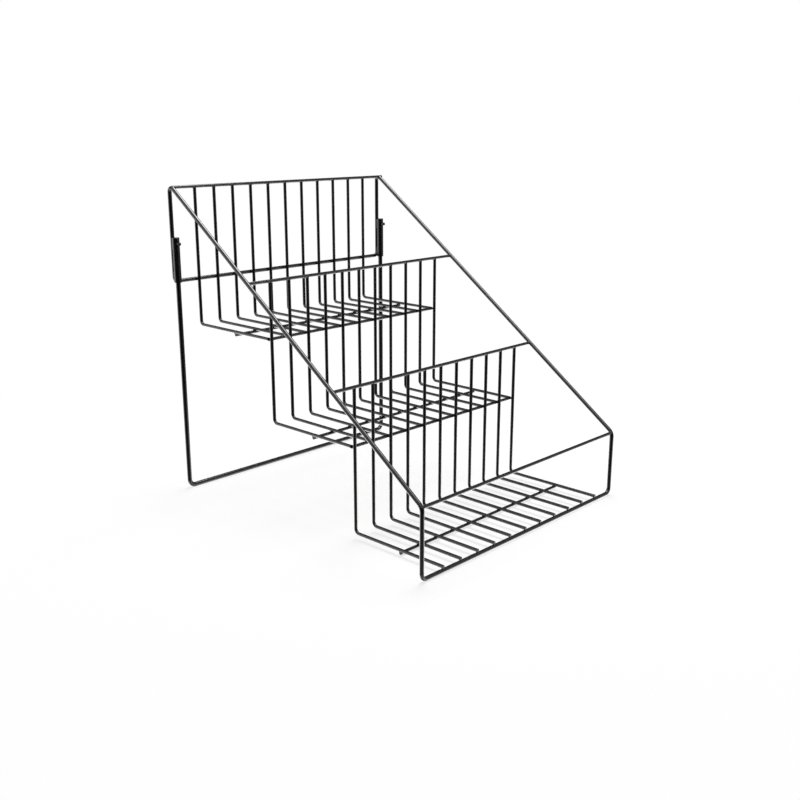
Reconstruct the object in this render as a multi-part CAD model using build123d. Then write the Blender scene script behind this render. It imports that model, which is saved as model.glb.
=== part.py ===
from build123d import *
import math
import os

# Three-tier sloped wire display rack, free-standing on a counter, with a rear leg that pulls
# out of two sleeves so that the rack packs flat. All lengths are in millimetres.
# X runs to the right as the shopper sees it, Y runs from the shopper to the back, Z is up.
# The origin lies on the counter, under the middle of the rack.

# Wires
frame_dia = 5.7              # bent side-and-base wire
shelf_dia = 4.5              # shelf wires, rails and cross wires
leg_dia = 6.7                # U-shaped rear leg

# Main frame, measured between wire axes
rack_width = 400.0           # left side wire to right side wire
lip_height = 93.5            # corner where the uprights lean back into the slope
peak_height = 437.5          # sharp corner of slope and back upright, before bending
back_drop = 133.0            # lower back bar below that corner
base_bend = 8.0              # bend radii, on the axis
lip_bend = 12.0
peak_bend = 5.4
back_bend = 6.0

# Tiers
tier_names = ("bottom", "middle", "top")
bottom_run = 148.9           # front uprights to the bottom back panel
tier_run = 157.5             # each next tier steps back by this much
tier_rise = 115.4            # and up by this much
wires_per_tier = 11
side_gap = 37.35             # outer shelf wires in from the side wires
shelf_bend = 6.0
rail_drop = 0.6              # rails below the slope's axis
lip_rail_back = 1.3          # lip rail behind the front uprights' axis
nose_past_bar = 1.2          # bottom shelf wires end this far in front of the base bar's axis
cross_overhang = 4.6         # right end of a cross wire past the last shelf wire's axis
peak_rail_overhang = 6.2     # right end of the top rail past the side wire's axis
peak_rail_left_end = 0.6     # left end of the top rail past the side wire's axis
cut_edge = 0.4               # deburring of the free wire ends

# Sleeves and clamp screws
sleeve_dia = 10.0
sleeve_length = 61.9
sleeve_rise = 2.0            # its mouth above the lower back bar's underside
sleeve_cap = 1.9             # closed top end, the leg's stop
sleeve_edge = 0.6            # rounding of the cap's rim
leg_fit = 0.08               # radial clearance of the leg in its sleeve
leg_stop_gap = 0.3
leg_bend = 9.0
leg_nose = 0.8               # chamfer on the leg's ends
screw_drop = 8.3             # screw axis below the sleeve's top
screw_dia = 3.0
screw_fit = 0.05
screw_head_dia = 4.7
screw_head_height = 4.6
screw_head_round = 0.7       # rounding of the head's face
slot_width = 0.8
slot_depth = 1.2
screw_tip_gap = 0.1          # tip to the leg, with the screw tight

overrun = 1.0                # cutters run past the metal by this much

# Places that follow from the sizes above
frame_r = frame_dia / 2
shelf_r = shelf_dia / 2
leg_r = leg_dia / 2
top_tier = len(tier_names) - 1
side_x = rack_width / 2
rack_depth = bottom_run + top_tier * tier_run + shelf_r + frame_r     # top panel rests on the back bar
front_y = -(rack_depth / 2)
back_y = rack_depth / 2
base_z = frame_r
back_bar_z = peak_height - back_drop
sleeve_y = back_y - frame_r - sleeve_dia / 2      # sleeves are welded to the uprights' front
sleeve_bottom = back_bar_z - frame_r + sleeve_rise
sleeve_top = sleeve_bottom + sleeve_length
screw_z = sleeve_top - screw_drop
sleeve_front = sleeve_y - sleeve_dia / 2
outer_wire_x = side_x - side_gap


def panel_y(tier):
    """Axis of a tier's back wires; tier 0 is the bottom one."""
    return front_y + bottom_run + tier * tier_run


def shelf_z(tier):
    """Axis of a tier's shelf wires; the bottom ones rest on the base bar."""
    return base_z + frame_r + shelf_r + tier * tier_rise


def rail_z(y):
    """Axis of a rail between the slopes of the frame."""
    slope = (peak_height - lip_height) / rack_depth
    return lip_height + (y - front_y) * slope - rail_drop


def front_rail_y(tier):
    """Front rail of an upper shelf: it lies against the next lower tier's back wires."""
    return panel_y(tier - 1) + shelf_dia


def wire_x(number):
    """Shelf wires stand evenly between the two outer ones."""
    return (2 * number / (wires_per_tier - 1) - 1) * outer_wire_x


def rod(start, end, dia):
    """Straight cut length of wire between two points."""
    a, b = Vector(*start), Vector(*end)
    run = b - a
    return extrude(Plane(origin=a, z_dir=run) * Circle(dia / 2), amount=run.length)


def deburred_rod(start, end, dia):
    """Rod whose sheared ends have lost their sharp edge."""
    return chamfer(rod(start, end, dia).edges().filter_by(GeomType.CIRCLE), cut_edge)


def bent_wire(points, bends, dia):
    """Wire swept along straight runs joined by tangent bends."""
    corners = [Vector(*p) for p in points]
    edges, start = [], corners[0]
    for before, corner, after, bend in zip(corners, corners[1:], corners[2:], bends):
        u, v = (corner - before).normalized(), (after - corner).normalized()
        half = math.acos(u.dot(v)) / 2
        inward = (v - u).normalized()
        leave, enter = corner - u * (bend * math.tan(half)), corner + v * (bend * math.tan(half))
        middle = corner + inward * (bend / math.cos(half) - bend)
        edges += [Line(start, leave), ThreePointArc(leave, middle, enter)]
        start = enter
    path = Wire(edges + [Line(start, corners[-1])])
    profile = Plane(origin=path @ 0, z_dir=path % 0) * Circle(dia / 2)
    return sweep(profile, path=path)


# Main frame: one wire from the base bar up, back along the slope, down and across the back

def side_points():
    return [(0, front_y, base_z), (side_x, front_y, base_z), (side_x, front_y, lip_height),
            (side_x, back_y, peak_height), (side_x, back_y, back_bar_z), (0, back_y, back_bar_z)]


def weld_seat(side):
    """Seat that the top rail sinks into on the peak bend, open to the top."""
    x = side * side_x
    y = panel_y(top_tier)
    z = rail_z(y)
    across = frame_r + overrun
    groove = rod((x - across, y, z), (x + across, y, z), shelf_dia)
    throat = Pos(x, y, z) * Box(2 * across, shelf_dia, frame_dia, align=(Align.CENTER, Align.CENTER, Align.MIN))
    return groove + throat


def make_frame_wire():
    half = bent_wire(side_points(), (base_bend, lip_bend, peak_bend, back_bend), frame_dia)
    return half + mirror(half, about=Plane.YZ) - weld_seat(1) - weld_seat(-1)


# Rails: the lip rail and the lower back rails are coped onto the side wires

def coped_rail(y, z, frame):
    return rod((-side_x, y, z), (side_x, y, z), shelf_dia) - frame


def make_lip_rail(frame):
    return coped_rail(front_y + lip_rail_back, lip_height - rail_drop, frame)


def make_back_rail(tier, frame):
    y = panel_y(tier)
    if tier < top_tier:
        return coped_rail(y, rail_z(y), frame)
    left, right = -side_x - peak_rail_left_end, side_x + peak_rail_overhang
    return deburred_rod((left, y, rail_z(y)), (right, y, rail_z(y)), shelf_dia)


def make_front_rail(tier):
    y, z = front_rail_y(tier), shelf_z(tier)
    return deburred_rod((-outer_wire_x, y, z), (outer_wire_x, y, z), shelf_dia)


def make_cross_wire(tier):
    """Wire under the middle of a shelf that ties its wires together."""
    y, z = panel_y(tier) - tier_run / 2, shelf_z(tier) - shelf_dia
    return deburred_rod((-outer_wire_x, y, z), (outer_wire_x + cross_overhang, y, z), shelf_dia)


# Shelf wires: each runs back along the shelf and bends up into the back panel

def make_shelf_wire(tier, back_rail, front_rail=None):
    """A bottom wire lies on the base bar with a free end; the others are coped to their front rail."""
    front = front_rail_y(tier) if tier else front_y - nose_past_bar
    back, z = panel_y(tier), shelf_z(tier)
    wire = bent_wire([(0, front, z), (0, back, z), (0, back, rail_z(back))], (shelf_bend,), shelf_dia)
    if front_rail:
        wire = wire - front_rail
    else:
        wire = chamfer(wire.edges().group_by(Axis.Y)[0], cut_edge)
    return wire - back_rail


# Rear leg and its sleeves

def make_sleeve(side):
    x = side * side_x
    tube = Pos(x, sleeve_y, sleeve_bottom) * Cylinder(
        sleeve_dia / 2, sleeve_length, align=(Align.CENTER, Align.CENTER, Align.MIN))
    tube = fillet(tube.edges().group_by(Axis.Z)[-1], sleeve_edge)
    bore = rod((x, sleeve_y, sleeve_bottom - overrun), (x, sleeve_y, sleeve_top - sleeve_cap), leg_dia + 2 * leg_fit)
    tapped = rod((x, sleeve_front - overrun, screw_z), (x, sleeve_y, screw_z), screw_dia + 2 * screw_fit)
    return tube - bore - tapped


def make_leg():
    top = sleeve_top - sleeve_cap - leg_stop_gap
    points = [(-side_x, sleeve_y, top), (-side_x, sleeve_y, leg_r), (side_x, sleeve_y, leg_r), (side_x, sleeve_y, top)]
    leg = bent_wire(points, (leg_bend, leg_bend), leg_dia)
    return chamfer(leg.edges().group_by(Axis.Z)[-1], leg_nose)


def make_screw(side):
    """Clamp screw: slotted cheese head, shank through the sleeve's front wall up to the leg."""
    shank_length = sleeve_y - leg_r - screw_tip_gap - sleeve_front
    head = Cylinder(screw_head_dia / 2, screw_head_height, align=(Align.CENTER, Align.CENTER, Align.MIN))
    head = fillet(head.edges().group_by(Axis.Z)[-1], screw_head_round)
    shank = Cylinder(screw_dia / 2, shank_length, align=(Align.CENTER, Align.CENTER, Align.MAX))
    slot = Pos(0, 0, screw_head_height) * Box(screw_head_dia + overrun, slot_width, 2 * slot_depth)
    return Pos(side * side_x, sleeve_front, screw_z) * Rotation(90, 0, 0) * (head + shank - slot)


def save(shape, node):
    shape.label = node
    export_step(shape, f"parts/{node}.step")


def main():
    os.makedirs("parts", exist_ok=True)
    frame = make_frame_wire()
    save(frame, "frame_wire")
    save(make_lip_rail(frame), "lip_rail")

    for tier, name in enumerate(tier_names):
        back_rail = make_back_rail(tier, frame)
        front_rail = make_front_rail(tier) if tier else None
        save(back_rail, f"{name}_back_rail")
        save(make_cross_wire(tier), f"{name}_cross_wire")
        if front_rail:
            save(front_rail, f"{name}_front_rail")
        wire = make_shelf_wire(tier, back_rail, front_rail)
        for number in range(wires_per_tier):
            save(Pos(wire_x(number), 0, 0) * wire, f"{name}_shelf_wire_{number + 1:02d}")

    save(make_leg(), "rear_leg")
    for side, name in ((-1, "left"), (1, "right")):
        save(make_sleeve(side), f"{name}_leg_sleeve")
        save(make_screw(side), f"{name}_clamp_screw")


if __name__ == "__main__":
    main()
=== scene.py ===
import math
import random

import bmesh
import bpy
from bpy.props import FloatProperty, FloatVectorProperty, IntProperty, PointerProperty
from bpy.types import Operator, Panel, PropertyGroup
from mathutils import Matrix, Vector


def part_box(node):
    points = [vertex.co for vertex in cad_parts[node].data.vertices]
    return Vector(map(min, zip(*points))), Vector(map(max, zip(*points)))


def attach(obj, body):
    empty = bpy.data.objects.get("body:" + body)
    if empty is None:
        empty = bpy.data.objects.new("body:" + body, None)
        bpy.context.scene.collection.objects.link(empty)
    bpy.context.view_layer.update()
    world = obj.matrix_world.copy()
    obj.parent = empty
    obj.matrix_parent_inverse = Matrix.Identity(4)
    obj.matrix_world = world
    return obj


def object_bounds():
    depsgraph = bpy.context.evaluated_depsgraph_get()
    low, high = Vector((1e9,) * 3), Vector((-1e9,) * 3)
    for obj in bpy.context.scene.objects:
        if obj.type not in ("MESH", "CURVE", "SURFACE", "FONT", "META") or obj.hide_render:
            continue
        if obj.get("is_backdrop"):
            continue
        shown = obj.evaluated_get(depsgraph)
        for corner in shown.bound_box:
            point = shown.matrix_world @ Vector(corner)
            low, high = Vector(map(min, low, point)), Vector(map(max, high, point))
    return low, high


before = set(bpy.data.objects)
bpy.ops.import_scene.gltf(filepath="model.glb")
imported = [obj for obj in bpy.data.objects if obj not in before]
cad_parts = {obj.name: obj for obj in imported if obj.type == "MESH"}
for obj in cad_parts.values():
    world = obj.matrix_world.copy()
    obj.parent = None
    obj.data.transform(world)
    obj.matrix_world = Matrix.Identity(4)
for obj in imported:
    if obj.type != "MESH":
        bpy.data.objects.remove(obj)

bl_info = {
    "name": "Wire Display Rack",
    "version": (1, 0, 0),
    "blender": (4, 5, 0),
    "location": "View3D > Sidebar > Wire Rack",
    "description": "Black powder coat, welds and studio for a three-tier wire display rack",
    "category": "Object",
}

TIERS = ("bottom", "middle", "top")
SIDES = {"left": -1, "right": 1}
RAILS_BETWEEN_SIDE_WIRES = ("lip_rail", "bottom_back_rail", "middle_back_rail")

# Patterns of the finishes. A scale is in repeats per metre, a depth or fade in metres.
# Each coat's pattern is moved along by its own offset, so that no two are alike.
PATTERN_OFFSETS = {
    "frame_coat": 0.0, "wire_coat": 0.31, "leg_coat": 0.62, "sleeve_coat": 0.87,
    "shelf_end_weld_coat": 1.3, "lap_weld_coat": 1.7, "rail_weld_coat": 2.1, "sleeve_weld_coat": 2.6,
}
PATCH_SCALE = 45.0
PATCH_DETAIL = 4.0
PATCH_SHADES = (0.8, 1.25)           # darkest and lightest patch, as shares of the coat's colour
DULLER = 0.06                        # roughness added in the dullest patches
GLOSSIER = 0.04                      # and taken away in the glossiest
COAT_SHEEN = 0.6                     # strength of the coat's reflections; plain plastic has 0.5
PEEL_DETAIL = 2.0
STREAK_SCALE = (900, 900, 14)        # fine across the leg, long along it
STREAK_DETAIL = 3.0
STREAK_RANGE = (0.45, 0.7)           # noise at which a streak starts, and at which it is full
RUB_FADE_BELOW = 0.003
RUB_FADE_ABOVE = 0.004
CLOUD_SCALE = 900.0
CLOUD_DETAIL = 3.0
CLOUD_SHADES = (0.6, 1.5)
STEEL_ROUGHNESS = (0.25, 0.45)
RING_WOBBLE = 0.6
RING_DEPTH = 0.000004
WAVE_PHASE = 20                      # a wave texture of scale 1 runs through 20 radians in a metre

# Weld lumps. Each kind has its own seed for its unevenness.
WELD_SEEDS = {"shelf_end_welds": 11, "lap_welds": 12, "rail_welds": 13, "sleeve_weld_beads": 14}
DROP_SEGMENTS = 10
DROP_RINGS = 6
END_WELD_SHARE = 0.9                 # height of a shelf end's weld, as a share of the wire's radius
RAIL_WELD_SHARE = 0.6                # reach of a rail's weld along the rail, as such a share
BEAD_OFFSET = 1.1                    # a bead's distance from the sleeve's middle, in bead radii
DROP_OVERLAP = 1.5                   # half length of a drop in a bead, in steps from drop to drop

# Boards that show in the gloss alone. Each has its compass angles in degrees, from +X towards +Y,
# its lower and upper edge in metres, and its brightness, 1 being white paper.
BOARD_RADIUS = 3.0
BOARD_STEPS = 24
BOARDS = {
    "front_flag": (159, 289, -1.33, 1.1, 0.0),
    "right_flag": (289, 350, -0.8, 6.0, 0.5),
    "back_flag": (350, 450, -0.8, 6.0, 0.1),
    "left_card": (90, 149, -1.33, 1.29, 1.75),
    "right_card": (289, 374, -1.33, -0.8, 2.5),
}
LOW_CARD_MIDDLE = (1.155, 1.107, -1.33)
LOW_CARD_RADIUS = 2.8
LOW_CARD_CORNERS = 48
LOW_CARD_FADE = (0.9, 1.3)           # it brightens between these distances from the rack's axis
HIGH_CARD_MIDDLE = (0.525, -0.2, 2.15)
HIGH_CARD_SIZE = (1.15, 2.0)
HIGH_CARD_FADE = (-1.2, 0.3)         # it brightens between these places along Y

# Lamp, floor and camera
SOFT_BOX_PLACE = (0.6, 0.3, 2.2)
SOFT_BOX_SIZE = (1.3, 0.9)
PAPER_WHITE = 0.95
SHADOW_SHARE = 0.4                   # the floor starts to turn plain white at this share of its reach
SENSOR_WIDTH = 36.0


# Sizes and colours that a user would change

class RackCoatSettings(PropertyGroup):
    """Semi-gloss black powder coat, and the blackened steel of the screws."""
    frame_color: FloatVectorProperty(
        name="Frame colour", description="Colour of the coat on the bent frame wire",
        subtype="COLOR", size=3, min=0.0, max=1.0, default=(0.0035, 0.0035, 0.0038))
    wire_color: FloatVectorProperty(
        name="Wire colour", description="Colour of the coat on shelf wires, rails and cross wires",
        subtype="COLOR", size=3, min=0.0, max=1.0, default=(0.0035, 0.0035, 0.0038))
    leg_color: FloatVectorProperty(
        name="Leg colour", description="Colour of the coat on the rear leg",
        subtype="COLOR", size=3, min=0.0, max=1.0, default=(0.0032, 0.0032, 0.0035))
    rubbed_color: FloatVectorProperty(
        name="Rubbed colour", description="Colour of the leg's coat where the sleeves rub it",
        subtype="COLOR", size=3, min=0.0, max=1.0, default=(0.022, 0.022, 0.023))
    sleeve_color: FloatVectorProperty(
        name="Sleeve colour", description="Colour of the coat on the leg's sleeves",
        subtype="COLOR", size=3, min=0.0, max=1.0, default=(0.004, 0.004, 0.0043))
    screw_color: FloatVectorProperty(
        name="Screw colour", description="Colour of the blackened steel",
        subtype="COLOR", size=3, min=0.0, max=1.0, default=(0.05, 0.05, 0.053))
    gloss_roughness: FloatProperty(
        name="Roughness", description="How blurred a reflection in the coat is",
        subtype="FACTOR", min=0.0, max=1.0, default=0.2)
    rubbed_roughness: FloatProperty(
        name="Rubbed roughness", description="How blurred a reflection is where the sleeves rub the leg",
        subtype="FACTOR", min=0.0, max=1.0, default=0.12)
    peel_size: FloatProperty(
        name="Peel size", description="Distance between the ripples that the melted powder leaves",
        subtype="DISTANCE", unit="LENGTH", min=0.0002, max=0.02, default=0.0016)
    peel_depth: FloatProperty(
        name="Peel depth", description="Height of those ripples",
        subtype="DISTANCE", unit="LENGTH", min=0.0, max=0.001, default=0.000006)
    turning_pitch: FloatProperty(
        name="Turning pitch", description="Distance between the lathe's rings on a screw's head",
        subtype="DISTANCE", unit="LENGTH", min=0.00002, max=0.002, default=0.00015)


class RackWeldSettings(PropertyGroup):
    """Resistance welds of the wires, and the beads of the sleeves."""
    lap_reach: FloatProperty(
        name="Lap reach", description="From the middle of a lap weld to its rim",
        subtype="DISTANCE", unit="LENGTH", min=0.0, default=0.0019)
    lap_height: FloatProperty(
        name="Lap height", description="Half of a lap weld's thickness",
        subtype="DISTANCE", unit="LENGTH", min=0.0, default=0.0011)
    fillet: FloatProperty(
        name="Fillet", description="How far a weld spreads past a wire that ends on another",
        subtype="DISTANCE", unit="LENGTH", min=0.0, default=0.0009)
    collar: FloatProperty(
        name="Collar", description="How far a weld stands out round a rail that ends on a side wire",
        subtype="DISTANCE", unit="LENGTH", min=0.0, default=0.0004)
    bead_radius: FloatProperty(
        name="Bead radius", description="Radius of the bead along a sleeve",
        subtype="DISTANCE", unit="LENGTH", min=0.0, default=0.0016)
    bead_length: FloatProperty(
        name="Bead length", description="Length of each bead along a sleeve",
        subtype="DISTANCE", unit="LENGTH", min=0.0, default=0.013)
    bead_drops: IntProperty(
        name="Bead drops", description="Number of overlapping drops in a bead", min=2, default=15)
    back_bar_height: FloatProperty(
        name="Back bar height", description="Height of the lower back bar's axis",
        subtype="DISTANCE", unit="LENGTH", min=0.0, default=0.3045)
    uneven: FloatProperty(
        name="Unevenness", description="How much the welds differ in size",
        subtype="FACTOR", min=0.0, max=0.5, default=0.12)


class RackStageSettings(PropertyGroup):
    """Floor, cards, lamp, surroundings and camera of the studio."""
    floor_size: FloatProperty(
        name="Floor size", description="Side of the white floor",
        subtype="DISTANCE", unit="LENGTH", min=1.0, default=60.0)
    floor_white: FloatProperty(
        name="Floor white", description="Share of plain white in the floor; the rest keeps the shadow",
        subtype="FACTOR", min=0.0, max=1.0, default=0.72)
    shadow_reach: FloatProperty(
        name="Shadow reach", description="Distance at which the floor has become plain white",
        subtype="DISTANCE", unit="LENGTH", min=0.1, default=0.9)
    low_card_level: FloatProperty(
        name="Low card level", description="Brightness of the card below the rack, 1 being white paper",
        min=0.0, default=4.0)
    low_card_middle: FloatProperty(
        name="Low card middle", description="Brightness of that card straight under the rack",
        min=0.0, default=0.6)
    high_card_level: FloatProperty(
        name="High card level", description="Brightness of the card above the rack at its back edge",
        min=0.0, default=17.5)
    high_card_front: FloatProperty(
        name="High card front", description="Brightness of that card at its front edge",
        min=0.0, default=2.5)
    lamp_level: FloatProperty(
        name="Lamp level", description="Brightness of the soft box above the rack, 1 being white paper",
        min=0.0, default=11.5)
    room_level: FloatProperty(
        name="Room level", description="Light from the white surroundings, 1 being full white",
        subtype="FACTOR", min=0.0, max=1.0, default=0.5)
    camera_place: FloatVectorProperty(
        name="Camera place", description="Where the camera stands",
        subtype="TRANSLATION", unit="LENGTH", size=3, default=(-0.99314, -0.95451, 0.51573))
    look_down: FloatProperty(
        name="Look down", description="How far the camera looks below the horizon",
        subtype="ANGLE", unit="ROTATION", default=math.radians(15.473))
    look_right: FloatProperty(
        name="Look right", description="How far the camera is turned from +Y towards +X",
        subtype="ANGLE", unit="ROTATION", default=math.radians(46.428))
    lens: FloatProperty(
        name="Lens", description="Focal length in millimetres on a 36 mm wide sensor",
        min=1.0, default=45.09)
    frame_shift: FloatVectorProperty(
        name="Frame shift", description="Shift of the picture, in picture widths",
        size=2, default=(-0.00031, 0.0022))


# Helpers for shader nodes

def new_material(name):
    material = bpy.data.materials.new(name)
    material.use_nodes = True
    tree = material.node_tree
    tree.nodes.clear()
    return material, tree, add_node(tree, "ShaderNodeOutputMaterial")


def add_node(tree, kind, **values):
    node = tree.nodes.new(kind)
    for key, value in values.items():
        setattr(node, key, value)
    return node


def set_inputs(node, values):
    for name, value in values.items():
        node.inputs[name].default_value = value
    return node


def link_mapping(tree, location=(0, 0, 0), scale=(1, 1, 1)):
    """Object coordinates, moved and scaled."""
    place = add_node(tree, "ShaderNodeTexCoord")
    mapping = set_inputs(add_node(tree, "ShaderNodeMapping"), {"Location": location, "Scale": scale})
    tree.links.new(place.outputs["Object"], mapping.inputs["Vector"])
    return mapping.outputs["Vector"]


def noise(tree, vector, scale, detail):
    texture = set_inputs(add_node(tree, "ShaderNodeTexNoise"), {"Scale": scale, "Detail": detail})
    tree.links.new(vector, texture.inputs["Vector"])
    return texture.outputs["Fac"]


def spread(tree, value, low, high, start=0.0, end=1.0):
    """Maps start..end of a value to low..high."""
    values = {"From Min": start, "From Max": end, "To Min": low, "To Max": high}
    node = set_inputs(add_node(tree, "ShaderNodeMapRange"), values)
    tree.links.new(value, node.inputs["Value"])
    return node.outputs["Result"]


def shades(tree, factor, color, dark, light):
    """Colour that wanders between a darker and a lighter shade."""
    values = {"A": (*[dark * c for c in color], 1.0), "B": (*[light * c for c in color], 1.0)}
    node = set_inputs(add_node(tree, "ShaderNodeMix", data_type="RGBA"), values)
    tree.links.new(factor, node.inputs["Factor"])
    return node.outputs["Result"]


def combine(tree, operation, first, second):
    node = add_node(tree, "ShaderNodeMath", operation=operation)
    tree.links.new(first, node.inputs[0])
    tree.links.new(second, node.inputs[1])
    return node.outputs["Value"]


def cover(tree, share, under, over, **kind):
    """A linked value, with a fixed one over it where the share is 1."""
    node = set_inputs(add_node(tree, "ShaderNodeMix", **kind), {"B": over})
    tree.links.new(share, node.inputs["Factor"])
    tree.links.new(under, node.inputs["A"])
    return node.outputs["Result"]


def mix_shaders(tree, share, first, second):
    """The first shader where the share is 0, the second where it is 1."""
    node = add_node(tree, "ShaderNodeMixShader")
    tree.links.new(share, node.inputs[0])
    tree.links.new(first, node.inputs[1])
    tree.links.new(second, node.inputs[2])
    return node.outputs["Shader"]


def bump(tree, height, depth):
    node = set_inputs(add_node(tree, "ShaderNodeBump"), {"Strength": 1.0, "Distance": depth})
    tree.links.new(height, node.inputs["Height"])
    return node.outputs["Normal"]


def rub_marks(tree, above):
    """Streaks along the leg where it slides in its sleeves, as a mask."""
    height = add_node(tree, "ShaderNodeSeparateXYZ")
    tree.links.new(link_mapping(tree), height.inputs["Vector"])
    inside = spread(tree, height.outputs["Z"], 0.0, 1.0, above - RUB_FADE_BELOW, above + RUB_FADE_ABOVE)
    grain = noise(tree, link_mapping(tree, scale=STREAK_SCALE), 1.0, STREAK_DETAIL)
    streaks = spread(tree, grain, 0.0, 1.0, *STREAK_RANGE)
    return combine(tree, "MULTIPLY", inside, streaks)


def powder_coat(name, color, rubbed_above=None):
    """Black powder coat: faint mottling, uneven gloss and the ripples that the melted powder leaves."""
    coat = bpy.context.scene.rack_coat
    material, tree, output = new_material(name)
    offset = PATTERN_OFFSETS[name]
    vector = link_mapping(tree, location=(offset, offset, offset))
    patches = noise(tree, vector, PATCH_SCALE, PATCH_DETAIL)
    tint = shades(tree, patches, color, *PATCH_SHADES)
    gloss = spread(tree, patches, coat.gloss_roughness - GLOSSIER, coat.gloss_roughness + DULLER)
    if rubbed_above is not None:
        worn = rub_marks(tree, rubbed_above)
        tint = cover(tree, worn, tint, (*coat.rubbed_color, 1.0), data_type="RGBA")
        gloss = cover(tree, worn, gloss, coat.rubbed_roughness)
    shader = set_inputs(add_node(tree, "ShaderNodeBsdfPrincipled"), {"Specular IOR Level": COAT_SHEEN})
    tree.links.new(tint, shader.inputs["Base Color"])
    tree.links.new(gloss, shader.inputs["Roughness"])
    ripples = noise(tree, vector, 1 / coat.peel_size, PEEL_DETAIL)
    tree.links.new(bump(tree, ripples, coat.peel_depth), shader.inputs["Normal"])
    tree.links.new(shader.outputs["BSDF"], output.inputs["Surface"])
    return material


def blackened_steel(name, axis):
    """Black oxide on turned steel: cloudy, satin, with the lathe's rings about the screw's axis."""
    coat = bpy.context.scene.rack_coat
    material, tree, output = new_material(name)
    vector = link_mapping(tree, location=(-axis.x, 0, -axis.z))
    clouds = noise(tree, vector, CLOUD_SCALE, CLOUD_DETAIL)
    rings = add_node(tree, "ShaderNodeTexWave", wave_type="RINGS", rings_direction="Y")
    set_inputs(rings, {"Scale": math.tau / (WAVE_PHASE * coat.turning_pitch), "Distortion": RING_WOBBLE})
    tree.links.new(vector, rings.inputs["Vector"])
    shader = set_inputs(add_node(tree, "ShaderNodeBsdfPrincipled"), {"Metallic": 1.0})
    tree.links.new(shades(tree, clouds, coat.screw_color, *CLOUD_SHADES), shader.inputs["Base Color"])
    tree.links.new(spread(tree, clouds, *STEEL_ROUGHNESS), shader.inputs["Roughness"])
    tree.links.new(bump(tree, rings.outputs["Fac"], RING_DEPTH), shader.inputs["Normal"])
    tree.links.new(shader.outputs["BSDF"], output.inputs["Surface"])
    return material


def coat_nodes(names, material):
    for name in names:
        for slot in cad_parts[name].material_slots:
            slot.material = material


# Places read from the frame

def corners_of(node):
    low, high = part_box(node)
    return Vector(low), Vector(high)


def middle_of(node):
    low, high = corners_of(node)
    return (low + high) / 2


def shelf_wires(tier):
    return sorted(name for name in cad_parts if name.startswith(f"{tier}_shelf_wire_"))


def wire_radius():
    low, high = corners_of("lip_rail")
    return (high.z - low.z) / 2


def frame_radius():
    """The bottom shelf wires lie on top of the base bar, which lies on the ground."""
    return corners_of("bottom_shelf_wire_01")[0].z / 2


# New objects

def add_object(name, data):
    thing = bpy.data.objects.new(name, data)
    bpy.context.scene.collection.objects.link(thing)
    return thing


def mesh_object(name, bm, material):
    """Object at the origin, with its place in its mesh."""
    mesh = bpy.data.meshes.new(name)
    bm.to_mesh(mesh)
    bm.free()
    mesh.materials.append(material)
    return add_object(name, mesh)


# Coats

class RACK_OT_coat_frame(Operator):
    """Coat the bent frame wire"""
    bl_idname = "rack.coat_frame"
    bl_label = "Coat frame"

    def execute(self, context):
        coat_nodes(["frame_wire"], powder_coat("frame_coat", context.scene.rack_coat.frame_color))
        return {"FINISHED"}


class RACK_OT_coat_wires(Operator):
    """Coat the shelf wires, rails and cross wires"""
    bl_idname = "rack.coat_wires"
    bl_label = "Coat wires"

    def execute(self, context):
        rails = [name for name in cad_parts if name.endswith(("_rail", "_cross_wire"))]
        wires = [name for tier in TIERS for name in shelf_wires(tier)]
        coat_nodes(rails + wires, powder_coat("wire_coat", context.scene.rack_coat.wire_color))
        return {"FINISHED"}


class RACK_OT_coat_leg(Operator):
    """Coat the rear leg and rub its coat where the sleeves hold it"""
    bl_idname = "rack.coat_leg"
    bl_label = "Coat leg"

    def execute(self, context):
        mouth = corners_of("left_leg_sleeve")[0].z
        coat_nodes(["rear_leg"], powder_coat("leg_coat", context.scene.rack_coat.leg_color, mouth))
        return {"FINISHED"}


class RACK_OT_coat_sleeves(Operator):
    """Coat the two leg sleeves"""
    bl_idname = "rack.coat_sleeves"
    bl_label = "Coat sleeves"

    def execute(self, context):
        coat = powder_coat("sleeve_coat", context.scene.rack_coat.sleeve_color)
        coat_nodes([f"{side}_leg_sleeve" for side in SIDES], coat)
        return {"FINISHED"}


class RACK_OT_blacken_screws(Operator):
    """Blacken the two clamp screws"""
    bl_idname = "rack.blacken_screws"
    bl_label = "Blacken screws"

    def execute(self, context):
        for side in SIDES:
            node = f"{side}_clamp_screw"
            coat_nodes([node], blackened_steel(f"{side}_screw_steel", middle_of(node)))
        return {"FINISHED"}


# Welds

def drop(bm, place, radii, dice):
    """One rounded lump of weld metal, a little uneven."""
    uneven = bpy.context.scene.rack_weld.uneven
    lump = bmesh.ops.create_uvsphere(bm, u_segments=DROP_SEGMENTS, v_segments=DROP_RINGS, radius=1.0)
    verts = lump["verts"]
    bmesh.ops.scale(bm, vec=Vector(radii) * (1 - dice.uniform(0, uneven)), verts=verts)
    bmesh.ops.translate(bm, vec=place, verts=verts)


def uneven_dice(name):
    """Random numbers for one piece's welds, the same in every run."""
    return random.Random(WELD_SEEDS[name])


def weld_piece(name, bm, material):
    """Welds of one kind, fixed to the rack."""
    bmesh.ops.recalc_face_normals(bm, faces=bm.faces)
    for face in bm.faces:
        face.smooth = True
    piece = mesh_object(name, bm, material)
    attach(piece, "rack")


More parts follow.
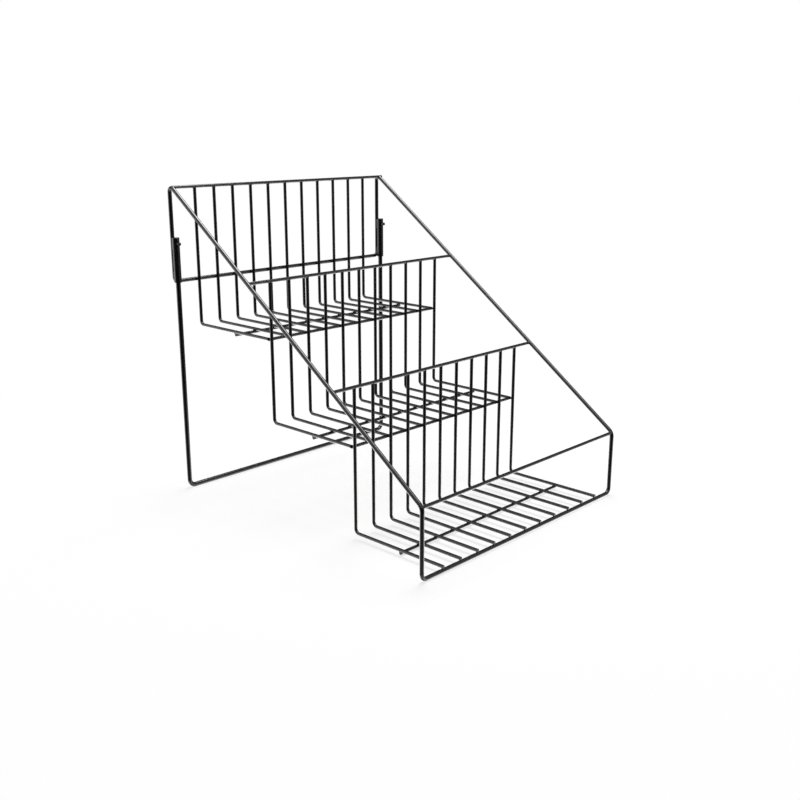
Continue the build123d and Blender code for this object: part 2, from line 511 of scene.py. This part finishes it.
class RACK_OT_weld_shelf_ends(Operator):
    """Weld the shelf wires' ends to the back rails and front rails"""
    bl_idname = "rack.weld_shelf_ends"
    bl_label = "Weld shelf ends"

    def execute(self, context):
        weld, radius, dice = context.scene.rack_weld, wire_radius(), uneven_dice("shelf_end_welds")
        along, across = radius + weld.fillet, END_WELD_SHARE * radius
        bm = bmesh.new()
        for tier in TIERS:
            rail = middle_of(f"{tier}_back_rail")
            for wire in shelf_wires(tier):
                low, high = corners_of(wire)
                x, shelf_z = (low.x + high.x) / 2, low.z + radius
                drop(bm, (x, rail.y, rail.z - radius), (along, across, weld.fillet), dice)
                if tier != TIERS[0]:
                    front = middle_of(f"{tier}_front_rail").y + radius
                    drop(bm, (x, front, shelf_z), (along, weld.fillet, across), dice)
        coat = powder_coat("shelf_end_weld_coat", context.scene.rack_coat.wire_color)
        weld_piece("shelf_end_welds", bm, coat)
        return {"FINISHED"}


class RACK_OT_weld_laps(Operator):
    """Weld the wires where they cross: cross wires, base bar, front rails and back bar"""
    bl_idname = "rack.weld_laps"
    bl_label = "Weld laps"

    def execute(self, context):
        weld, radius, dice = context.scene.rack_weld, wire_radius(), uneven_dice("lap_welds")
        reach, height = weld.lap_reach, weld.lap_height
        flat, upright = (reach, reach, height), (reach, height, reach)
        base_y = corners_of("frame_wire")[0].y + frame_radius()
        bm = bmesh.new()
        for tier in TIERS:
            cross_y = middle_of(f"{tier}_cross_wire").y
            for wire in shelf_wires(tier):
                low, high = corners_of(wire)
                x, shelf_z = (low.x + high.x) / 2, low.z + radius
                drop(bm, (x, cross_y, low.z), flat, dice)
                if tier == TIERS[0]:
                    drop(bm, (x, base_y, low.z), flat, dice)
                else:
                    drop(bm, (x, middle_of(f"{tier}_front_rail").y - radius, shelf_z), upright, dice)
                if tier == TIERS[-1]:
                    drop(bm, (x, high.y, weld.back_bar_height), upright, dice)
        coat = powder_coat("lap_weld_coat", context.scene.rack_coat.wire_color)
        weld_piece("lap_welds", bm, coat)
        return {"FINISHED"}


class RACK_OT_weld_rails(Operator):
    """Weld the rails to the side wires"""
    bl_idname = "rack.weld_rails"
    bl_label = "Weld rails"

    def execute(self, context):
        weld, radius, dice = context.scene.rack_weld, wire_radius(), uneven_dice("rail_welds")
        outside = corners_of("frame_wire")[1].x
        inside = outside - 2 * frame_radius()
        ring = (RAIL_WELD_SHARE * radius, radius + weld.collar, radius + weld.collar)
        bm = bmesh.new()
        for sign in SIDES.values():
            for rail in RAILS_BETWEEN_SIDE_WIRES:
                place = middle_of(rail)
                drop(bm, (sign * inside, place.y, place.z), ring, dice)
            place = middle_of("top_back_rail")
            drop(bm, (sign * inside, place.y, place.z - weld.collar), ring, dice)
        # Only the top rail's right end goes on past its side wire
        drop(bm, (outside, place.y, place.z - weld.collar), ring, dice)
        coat = powder_coat("rail_weld_coat", context.scene.rack_coat.frame_color)
        weld_piece("rail_welds", bm, coat)
        return {"FINISHED"}


class RACK_OT_weld_sleeves(Operator):
    """Lay beads along the sleeves, between them and the uprights"""
    bl_idname = "rack.weld_sleeves"
    bl_label = "Weld sleeves"

    def execute(self, context):
        weld, dice = context.scene.rack_weld, uneven_dice("sleeve_weld_beads")
        upright_front = corners_of("frame_wire")[1].y - 2 * frame_radius()
        step = weld.bead_length / (weld.bead_drops - 1)
        radii = (weld.bead_radius, weld.bead_radius, DROP_OVERLAP * step)
        bm = bmesh.new()
        for side in SIDES:
            low, high = corners_of(f"{side}_leg_sleeve")
            seam_y = (high.y + upright_front) / 2
            for start in (low.z + weld.bead_radius, high.z - weld.bead_radius - weld.bead_length):
                for sign in (-1, 1):
                    x = (low.x + high.x) / 2 + sign * BEAD_OFFSET * weld.bead_radius
                    for number in range(weld.bead_drops):
                        drop(bm, (x, seam_y, start + number * step), radii, dice)
        coat = powder_coat("sleeve_weld_coat", context.scene.rack_coat.sleeve_color)
        weld_piece("sleeve_weld_beads", bm, coat)
        return {"FINISHED"}


# Stage

def soft_box(name, place, width, height, brightness):
    """Evenly lit rectangle that faces down; brightness 1 is as bright as white paper."""
    data = bpy.data.lights.new(name, "AREA")
    data.shape = "RECTANGLE"
    data.size = width
    data.size_y = height
    data.energy = brightness * math.pi * width * height
    lamp = add_object(name, data)
    lamp.location = place
    lamp.visible_glossy = False


def background_rays(tree):
    """Rays that look at the background, straight, in a gloss or through glass."""
    path = add_node(tree, "ShaderNodeLightPath")
    seen = combine(tree, "MAXIMUM", path.outputs["Is Camera Ray"], path.outputs["Is Glossy Ray"])
    return combine(tree, "MAXIMUM", seen, path.outputs["Is Transmission Ray"])


def stage_object(name, bm, material):
    thing = mesh_object(name, bm, material)
    thing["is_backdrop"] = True
    return thing


def floor_paper(share, reach):
    """White paper that keeps the rack's shadow faintly, and is plain white further off."""
    material, tree, output = new_material("floor_paper")
    white = (PAPER_WHITE, PAPER_WHITE, PAPER_WHITE, 1.0)
    paper = set_inputs(add_node(tree, "ShaderNodeBsdfDiffuse"), {"Color": white})
    glow = add_node(tree, "ShaderNodeEmission")
    distance = add_node(tree, "ShaderNodeVectorMath", operation="LENGTH")
    tree.links.new(link_mapping(tree), distance.inputs[0])
    away = spread(tree, distance.outputs["Value"], share, 1.0, SHADOW_SHARE * reach, reach)
    plain = combine(tree, "MULTIPLY", away, background_rays(tree))
    mixed = mix_shaders(tree, plain, paper.outputs["BSDF"], glow.outputs["Emission"])
    tree.links.new(mixed, output.inputs["Surface"])
    return material


def card(name, bm, brightness):
    """Board that only shows in the gloss of the coat; 0 is black, 1 is as bright as white paper."""
    material, tree, output = new_material(name)
    board = set_inputs(add_node(tree, "ShaderNodeEmission"), {"Strength": brightness})
    tree.links.new(board.outputs["Emission"], output.inputs["Surface"])
    thing = stage_object(name, bm, material)
    thing.visible_camera = False
    thing.visible_diffuse = False
    thing.visible_transmission = False
    thing.visible_shadow = False
    return tree, board


def curved_card(name, start, end, low, high, brightness):
    """Board bent round the rack, between two compass angles and two heights."""
    bm = bmesh.new()
    foot = bm.verts.new((BOARD_RADIUS, 0, low))
    head = bm.verts.new((BOARD_RADIUS, 0, high))
    edge = bm.edges.new((foot, head))
    bmesh.ops.spin(
        bm, geom=[foot, head, edge], cent=(0, 0, 0), axis=(0, 0, 1),
        angle=math.radians(end - start), steps=BOARD_STEPS)
    turn = Matrix.Rotation(math.radians(start), 3, "Z")
    bmesh.ops.rotate(bm, cent=(0, 0, 0), matrix=turn, verts=bm.verts)
    card(name, bm, brightness)


def low_card(near, far):
    """Round board below the rack and behind it, dimmer straight under the rack."""
    bm = bmesh.new()
    bmesh.ops.create_circle(bm, cap_ends=True, segments=LOW_CARD_CORNERS, radius=LOW_CARD_RADIUS)
    bmesh.ops.translate(bm, vec=LOW_CARD_MIDDLE, verts=bm.verts)
    tree, board = card("low_card", bm, far)
    distance = add_node(tree, "ShaderNodeVectorMath", operation="LENGTH")
    tree.links.new(link_mapping(tree, scale=(1, 1, 0)), distance.inputs[0])
    level = spread(tree, distance.outputs["Value"], near, far, *LOW_CARD_FADE)
    tree.links.new(level, board.inputs["Strength"])


def high_card(front, back):
    """Board above the rack that grows brighter to the back, for the streaks on the slopes."""
    bm = bmesh.new()
    bmesh.ops.create_grid(bm, x_segments=1, y_segments=1, size=0.5)
    bmesh.ops.scale(bm, vec=(*HIGH_CARD_SIZE, 1), verts=bm.verts)
    bmesh.ops.translate(bm, vec=HIGH_CARD_MIDDLE, verts=bm.verts)
    tree, board = card("high_card", bm, back)
    split = add_node(tree, "ShaderNodeSeparateXYZ")
    tree.links.new(link_mapping(tree), split.inputs["Vector"])
    level = spread(tree, split.outputs["Y"], front, back, *HIGH_CARD_FADE)
    tree.links.new(level, board.inputs["Strength"])


def white_room(level):
    """White surroundings, which light the rack at a plain level."""
    world = bpy.data.worlds.new("white_room")
    bpy.context.scene.world = world
    world.use_nodes = True
    tree = world.node_tree
    tree.nodes.clear()
    white = (1.0, 1.0, 1.0, 1.0)
    lit = set_inputs(add_node(tree, "ShaderNodeBackground"), {"Color": white, "Strength": level})
    seen = set_inputs(add_node(tree, "ShaderNodeBackground"), {"Color": white})
    output = add_node(tree, "ShaderNodeOutputWorld")
    mixed = mix_shaders(
        tree, background_rays(tree), lit.outputs["Background"], seen.outputs["Background"])
    tree.links.new(mixed, output.inputs["Surface"])


def camera_of_photo(stage):
    data = bpy.data.cameras.new("camera")
    data.sensor_width = SENSOR_WIDTH
    data.lens = stage.lens
    data.shift_x, data.shift_y = stage.frame_shift
    camera = add_object("camera", data)
    camera.location = stage.camera_place
    camera.rotation_euler = (math.pi / 2 - stage.look_down, 0, -stage.look_right)
    bpy.context.scene.camera = camera


class RACK_OT_add_stage(Operator):
    """Add the floor, the cards, the soft box, the surroundings and the camera"""
    bl_idname = "rack.add_stage"
    bl_label = "Add stage"

    def execute(self, context):
        stage = context.scene.rack_stage
        sheet = bmesh.new()
        bmesh.ops.create_grid(sheet, x_segments=1, y_segments=1, size=stage.floor_size / 2)
        floor = stage_object("floor", sheet, floor_paper(stage.floor_white, stage.shadow_reach))
        floor.visible_glossy = False
        for name, board in BOARDS.items():
            curved_card(name, *board)
        low_card(stage.low_card_middle, stage.low_card_level)
        high_card(stage.high_card_front, stage.high_card_level)
        white_room(stage.room_level)
        soft_box("overhead_box", SOFT_BOX_PLACE, *SOFT_BOX_SIZE, stage.lamp_level)
        camera_of_photo(stage)
        context.scene.view_settings.view_transform = "Standard"
        return {"FINISHED"}


# Add-on

MAKERS = (
    RACK_OT_coat_frame, RACK_OT_coat_wires, RACK_OT_coat_leg, RACK_OT_coat_sleeves,
    RACK_OT_blacken_screws, RACK_OT_weld_shelf_ends, RACK_OT_weld_laps, RACK_OT_weld_rails,
    RACK_OT_weld_sleeves, RACK_OT_add_stage)


class RACK_PT_looks(Panel):
    """Lists the rack's makers and settings"""
    bl_label = "Wire Rack"
    bl_idname = "RACK_PT_looks"
    bl_space_type = "VIEW_3D"
    bl_region_type = "UI"
    bl_category = "Wire Rack"

    def draw(self, context):
        column = self.layout.column(align=True)
        for maker in MAKERS:
            column.operator(maker.bl_idname)
        for settings in (context.scene.rack_coat, context.scene.rack_weld, context.scene.rack_stage):
            for name in settings.__annotations__:
                self.layout.prop(settings, name)


CLASSES = (RackCoatSettings, RackWeldSettings, RackStageSettings, *MAKERS, RACK_PT_looks)


def register():
    for cls in CLASSES:
        bpy.utils.register_class(cls)
    bpy.types.Scene.rack_coat = PointerProperty(type=RackCoatSettings)
    bpy.types.Scene.rack_weld = PointerProperty(type=RackWeldSettings)
    bpy.types.Scene.rack_stage = PointerProperty(type=RackStageSettings)


def unregister():
    del bpy.types.Scene.rack_coat
    del bpy.types.Scene.rack_weld
    del bpy.types.Scene.rack_stage
    for cls in reversed(CLASSES):
        bpy.utils.unregister_class(cls)


def corners():
    bpy.context.view_layer.update()
    return [list(corner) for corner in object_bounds()]


def main():
    register()
    cad = corners()
    bpy.ops.rack.coat_frame()
    bpy.ops.rack.coat_wires()
    bpy.ops.rack.coat_leg()
    bpy.ops.rack.coat_sleeves()
    bpy.ops.rack.blacken_screws()
    bpy.ops.rack.weld_shelf_ends()
    bpy.ops.rack.weld_laps()
    bpy.ops.rack.weld_rails()
    bpy.ops.rack.weld_sleeves()
    bpy.ops.rack.add_stage()
    {"cad": cad, "visual": corners()}


if __name__ == "__main__":
    main()
